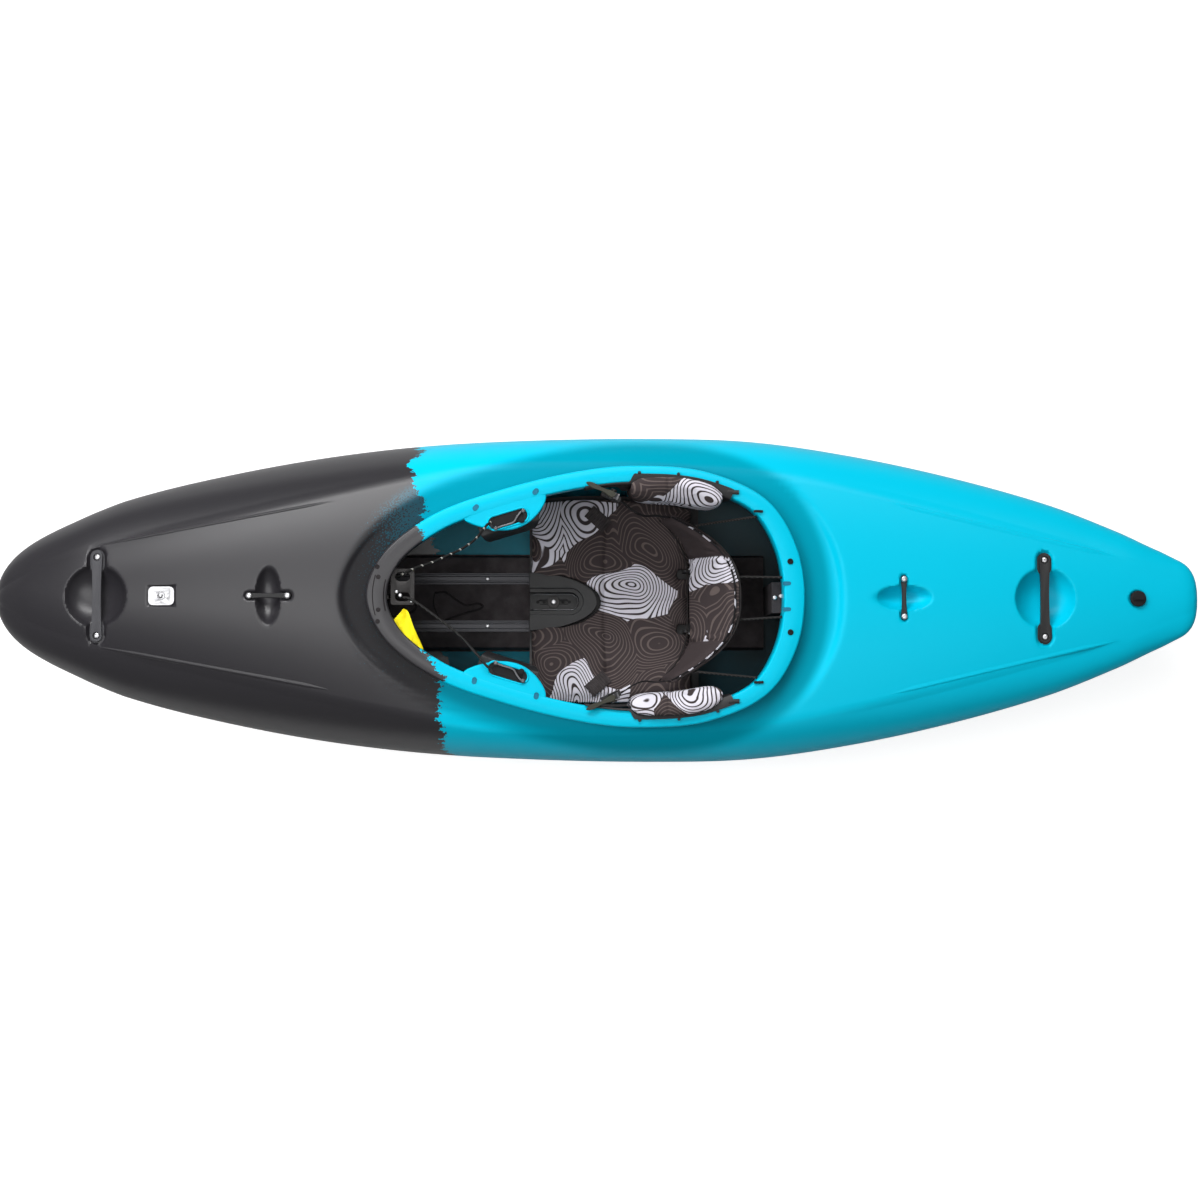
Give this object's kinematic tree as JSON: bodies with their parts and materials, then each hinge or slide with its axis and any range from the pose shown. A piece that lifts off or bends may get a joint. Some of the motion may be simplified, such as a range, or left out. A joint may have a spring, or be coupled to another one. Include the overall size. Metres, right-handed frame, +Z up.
{
  "type": "whitewater kayak",
  "caption": "Short river kayak with a full bow, thin stern, decked cockpit, padded adjustable seat, backband, hip pads, thigh braces and a sliding footrest.",
  "frame": {"origin": "on the surface the hull rests on, under the middle of the hull's length and width", "axes": "+X to the bow, +Y to port, +Z up"},
  "size_m": [2.45, 0.668, 0.3715],
  "materials": {
    "hull_plastic": "satin two-colour moulded plastic, black at the bow and bright blue behind",
    "black_plastic": "satin",
    "hard_foam": "matt closed-cell foam",
    "soft_foam": "matt soft foam",
    "bright_steel": "polished stainless",
    "dark_rail": "black anodised",
    "printed_fabric": "woven fabric with a printed line pattern",
    "webbing": "woven strap",
    "cord": "braided cord",
    "yellow_fabric": "coated cloth",
    "lever_plastic": "satin",
    "seal_rubber": "matt"
  },
  "bodies": {
    "hull": {"hull_shell": "hull_plastic", "bow_grab_handle": "black_plastic", "bow_handle_bolt_port": "bright_steel", "bow_handle_bolt_starboard": "bright_steel", "stern_grab_handle": "black_plastic", "stern_handle_bolt_port": "bright_steel", "stern_handle_bolt_starboard": "bright_steel", "bow_tow_bar": "black_plastic", "bow_tow_bolt_front": "bright_steel", "bow_tow_bolt_rear": "bright_steel", "stern_tow_bar": "black_plastic", "stern_tow_bolt_port": "bright_steel", "stern_tow_bolt_starboard": "bright_steel", "camera_mount_plate": "bright_steel", "camera_mount_stud": "bright_steel", "drain_washer": "seal_rubber", "bow_pillar": "hard_foam", "stern_pillar": "hard_foam", "floor_beam": "hard_foam", "foot_rail_port": "dark_rail", "foot_rail_starboard": "dark_rail", "seat_clamp_bolt": "bright_steel", "hip_plate_port": "black_plastic", "hip_pad_port": "printed_fabric", "hip_plate_starboard": "black_plastic", "hip_pad_starboard": "printed_fabric", "ratchet_base_port": "black_plastic", "ratchet_base_starboard": "black_plastic", "backband_strap_port": "webbing", "backband_strap_starboard": "webbing", "backband_rear_cord_port": "cord", "backband_side_cord_port": "cord", "backband_rear_cord_starboard": "cord", "backband_side_cord_starboard": "cord", "cord_bracket": "bright_steel", "footrest_cord_port": "cord", "footrest_cord_starboard": "cord", "spares_pouch": "yellow_fabric", "rim_bolt_port": "black_plastic", "rim_bolt_starboard": "black_plastic"},
    "seat": {"seat_pan": "black_plastic", "seat_pad": "printed_fabric", "backband_pin_port": "bright_steel", "backband_pin_starboard": "bright_steel"},
    "backband": {"backband_pad": "printed_fabric", "backband_shell": "black_plastic"},
    "footrest": {"footrest": "black_plastic", "foot_pad_port": "soft_foam", "foot_pad_starboard": "soft_foam"},
    "thigh_brace_port": {"thigh_plate_port": "black_plastic", "thigh_pad_port": "printed_fabric", "thigh_bolt_front_port": "bright_steel", "thigh_bolt_rear_port": "bright_steel"},
    "thigh_brace_starboard": {"thigh_plate_starboard": "black_plastic", "thigh_pad_starboard": "printed_fabric", "thigh_bolt_front_starboard": "bright_steel", "thigh_bolt_rear_starboard": "bright_steel"},
    "ratchet_lever_port": {"ratchet_lever_port": "lever_plastic"},
    "ratchet_lever_starboard": {"ratchet_lever_starboard": "lever_plastic"},
    "drain_plug": {"drain_plug": "black_plastic"}
  },
  "joints": [
    {"name": "seat_slide", "type": "slide", "parent": "hull", "child": "seat", "axis": [1, 0, 0], "range_m": [-0.025, 0.025], "deforming": ["backband_strap_port", "backband_strap_starboard", "backband_rear_cord_port", "backband_rear_cord_starboard", "backband_side_cord_port", "backband_side_cord_starboard"]},
    {"name": "backband_tilt", "type": "hinge", "parent": "seat", "child": "backband", "pos_m": [-0.186, 0, 0.09], "axis": [0, 1, 0], "range_deg": [-5, 20], "deforming": ["backband_strap_port", "backband_strap_starboard", "backband_rear_cord_port", "backband_rear_cord_starboard", "backband_side_cord_port", "backband_side_cord_starboard"]},
    {"name": "footrest_slide", "type": "slide", "parent": "hull", "child": "footrest", "axis": [1, 0, 0], "range_m": [-0.08, 0.08], "deforming": ["footrest_cord_port", "footrest_cord_starboard"]},
    {"name": "thigh_brace_slide_port", "type": "slide", "parent": "hull", "child": "thigh_brace_port", "axis": [0.9526, -0.2915, 0.0867], "range_m": [-0.008, 0.008]},
    {"name": "thigh_brace_slide_starboard", "type": "slide", "parent": "hull", "child": "thigh_brace_starboard", "axis": [0.9526, 0.2915, 0.0867], "range_m": [-0.008, 0.008]},
    {"name": "ratchet_lever_port_lift", "type": "hinge", "parent": "hull", "child": "ratchet_lever_port", "pos_m": [-0.0227, 0.203, 0.33747], "axis": [0.4061, -0.9131, 0.037], "range_deg": [0, 60], "stiffness_Nm_per_rad": 0.02},
    {"name": "ratchet_lever_starboard_lift", "type": "hinge", "parent": "hull", "child": "ratchet_lever_starboard", "pos_m": [-0.0227, -0.203, 0.33747], "axis": [-0.4061, -0.9131, -0.037], "range_deg": [0, 60], "stiffness_Nm_per_rad": 0.02},
    {"name": "drain_turn", "type": "hinge", "parent": "hull", "child": "drain_plug", "pos_m": [-1.097, 0, 0.21], "axis": [0, 0, 1], "range_deg": [0, 1080]}
  ]
}
